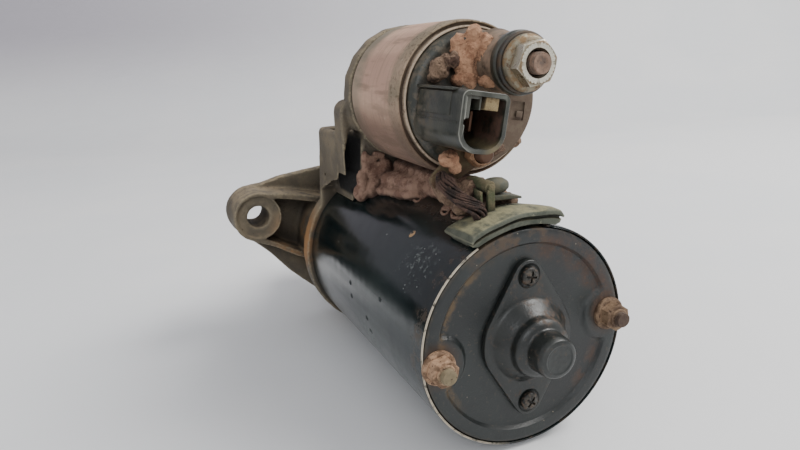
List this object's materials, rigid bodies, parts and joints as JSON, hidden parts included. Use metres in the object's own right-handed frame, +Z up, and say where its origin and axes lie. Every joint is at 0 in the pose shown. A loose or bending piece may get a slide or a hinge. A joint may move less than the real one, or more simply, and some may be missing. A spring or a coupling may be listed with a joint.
{
  "type": "starter motor",
  "caption": "Vehicle starter motor with a solenoid on top, a two-eared drive housing and a sprung pinion drive.",
  "frame": {"origin": "centre of the whole box in X and Y, on the plane that its underside rests on", "axes": "+Y runs along the motor axis from the rear cover to the drive nose, +Z points up to the solenoid, and +X to the right seen from the rear cover"},
  "size_m": [0.1448, 0.2226, 0.1417],
  "materials": {
    "painted_steel": "semi-gloss black paint, scratched and rust stained",
    "cast_aluminium": "die-cast aluminium, dulled by road dust",
    "dusty_steel": "drawn steel under pinkish dried dust",
    "black_plastic": "moulded black plastic, scuffed",
    "zinc_steel": "yellowed zinc plating",
    "rusty_steel": "steel with brown rust",
    "bright_steel": "machined steel, oiled",
    "rubber": "aged olive-black rubber",
    "copper": "copper, tarnished",
    "bronze": "sintered bronze",
    "magnet": "dark ferrite magnet",
    "carbon": "copper graphite brush",
    "lamination": "stacked steel laminations",
    "fibre": "brown pressed fibre board",
    "nylon": "glass-filled nylon, natural colour"
  },
  "bodies": {
    "body": {"battery_nut": "zinc_steel", "battery_stud": "copper", "battery_washer": "rusty_steel", "bearing_cap": "painted_steel", "brush_1": "carbon", "brush_2": "carbon", "brush_3": "carbon", "brush_4": "carbon", "brush_plate": "fibre", "brush_spring_1": "bright_steel", "brush_spring_2": "bright_steel", "brush_spring_3": "bright_steel", "brush_spring_4": "bright_steel", "cap_gasket": "rubber", "cap_screw_lower": "painted_steel", "cap_screw_upper": "painted_steel", "coil_bobbin": "nylon", "drive_end_housing": "cast_aluminium", "fork_pin": "bright_steel", "gear_plate": "bright_steel", "grommet": "rubber", "lead_lug": "copper", "magnet_1": "magnet", "magnet_2": "magnet", "magnet_3": "magnet", "magnet_4": "magnet", "middle_bush": "bronze", "motor_lead": "copper", "motor_nut": "rusty_steel", "motor_stud": "copper", "nose_bush": "bronze", "plug_tab": "copper", "rear_bush": "bronze", "rear_cover": "painted_steel", "return_spring": "bright_steel", "ring_gear": "nylon", "solenoid_can": "dusty_steel", "solenoid_coil": "copper", "solenoid_core": "bright_steel", "solenoid_screw_left": "zinc_steel", "solenoid_screw_right": "zinc_steel", "terminal_cap": "black_plastic", "through_bolt_left": "rusty_steel", "through_bolt_right": "rusty_steel", "yoke": "painted_steel"},
    "rotor": {"rotor_shaft": "bright_steel", "commutator": "copper", "rotor_core": "lamination", "winding_rear": "copper", "winding_front": "copper"},
    "output": {"drive_shaft": "bright_steel", "stop_ring": "bright_steel"},
    "planet_1": {"planet_gear_1": "bright_steel"},
    "planet_2": {"planet_gear_2": "bright_steel"},
    "planet_3": {"planet_gear_3": "bright_steel"},
    "clutch": {"clutch": "bright_steel"},
    "pinion": {"pinion": "bright_steel"},
    "fork": {"fork_lever": "nylon"},
    "plunger": {"plunger": "bright_steel"},
    "contact_bridge": {"contact_bridge": "copper"}
  },
  "joints": [
    {"name": "rotor_spin", "type": "hinge", "parent": "body", "child": "rotor", "pos_m": [0, -0.0337, 0.04], "axis": [0, 1, 0], "continuous": true},
    {"name": "output_spin", "type": "hinge", "parent": "body", "child": "output", "pos_m": [0, 0.0163, 0.04], "axis": [0, 1, 0], "continuous": true},
    {"name": "planet_1_spin", "type": "hinge", "parent": "output", "child": "planet_1", "pos_m": [0, 0.0088, 0.0565], "axis": [0, 1, 0], "continuous": true},
    {"name": "planet_2_spin", "type": "hinge", "parent": "output", "child": "planet_2", "pos_m": [-0.01429, 0.0088, 0.03175], "axis": [0, 1, 0], "continuous": true},
    {"name": "planet_3_spin", "type": "hinge", "parent": "output", "child": "planet_3", "pos_m": [0.01429, 0.0088, 0.03175], "axis": [0, 1, 0], "continuous": true},
    {"name": "plunger_slide", "type": "slide", "parent": "body", "child": "plunger", "axis": [0, -1, 0], "range_m": [0, 0.0105], "stiffness_N_per_m": 900, "springref_m": -0.012, "deforming": ["return_spring"]},
    {"name": "fork_swing", "type": "hinge", "parent": "body", "child": "fork", "pos_m": [0, 0.0373, 0.087], "axis": [1, 0, 0], "range_deg": [0, 22]},
    {"name": "clutch_slide", "type": "slide", "parent": "output", "child": "clutch", "axis": [0, 1, 0], "range_m": [0, 0.0141]},
    {"name": "pinion_overrun", "type": "hinge", "parent": "clutch", "child": "pinion", "pos_m": [0, 0.0663, 0.04], "axis": [0, 1, 0], "continuous": true},
    {"name": "contact_slide", "type": "slide", "parent": "body", "child": "contact_bridge", "axis": [0, -1, 0], "range_m": [0, 0.0021]}
  ],
  "couplings": [
    {"joint": "output_spin", "follows": "rotor_spin", "ratio": 0.2},
    {"joint": "planet_1_spin", "follows": "rotor_spin", "ratio": -0.53333},
    {"joint": "planet_2_spin", "follows": "rotor_spin", "ratio": -0.53333},
    {"joint": "planet_3_spin", "follows": "rotor_spin", "ratio": -0.53333},
    {"joint": "fork_swing", "follows": "plunger_slide", "rad_per_m": 36.191},
    {"joint": "clutch_slide", "follows": "plunger_slide", "ratio": 1.3333},
    {"joint": "contact_slide", "follows": "plunger_slide", "ratio": 0.19}
  ]
}
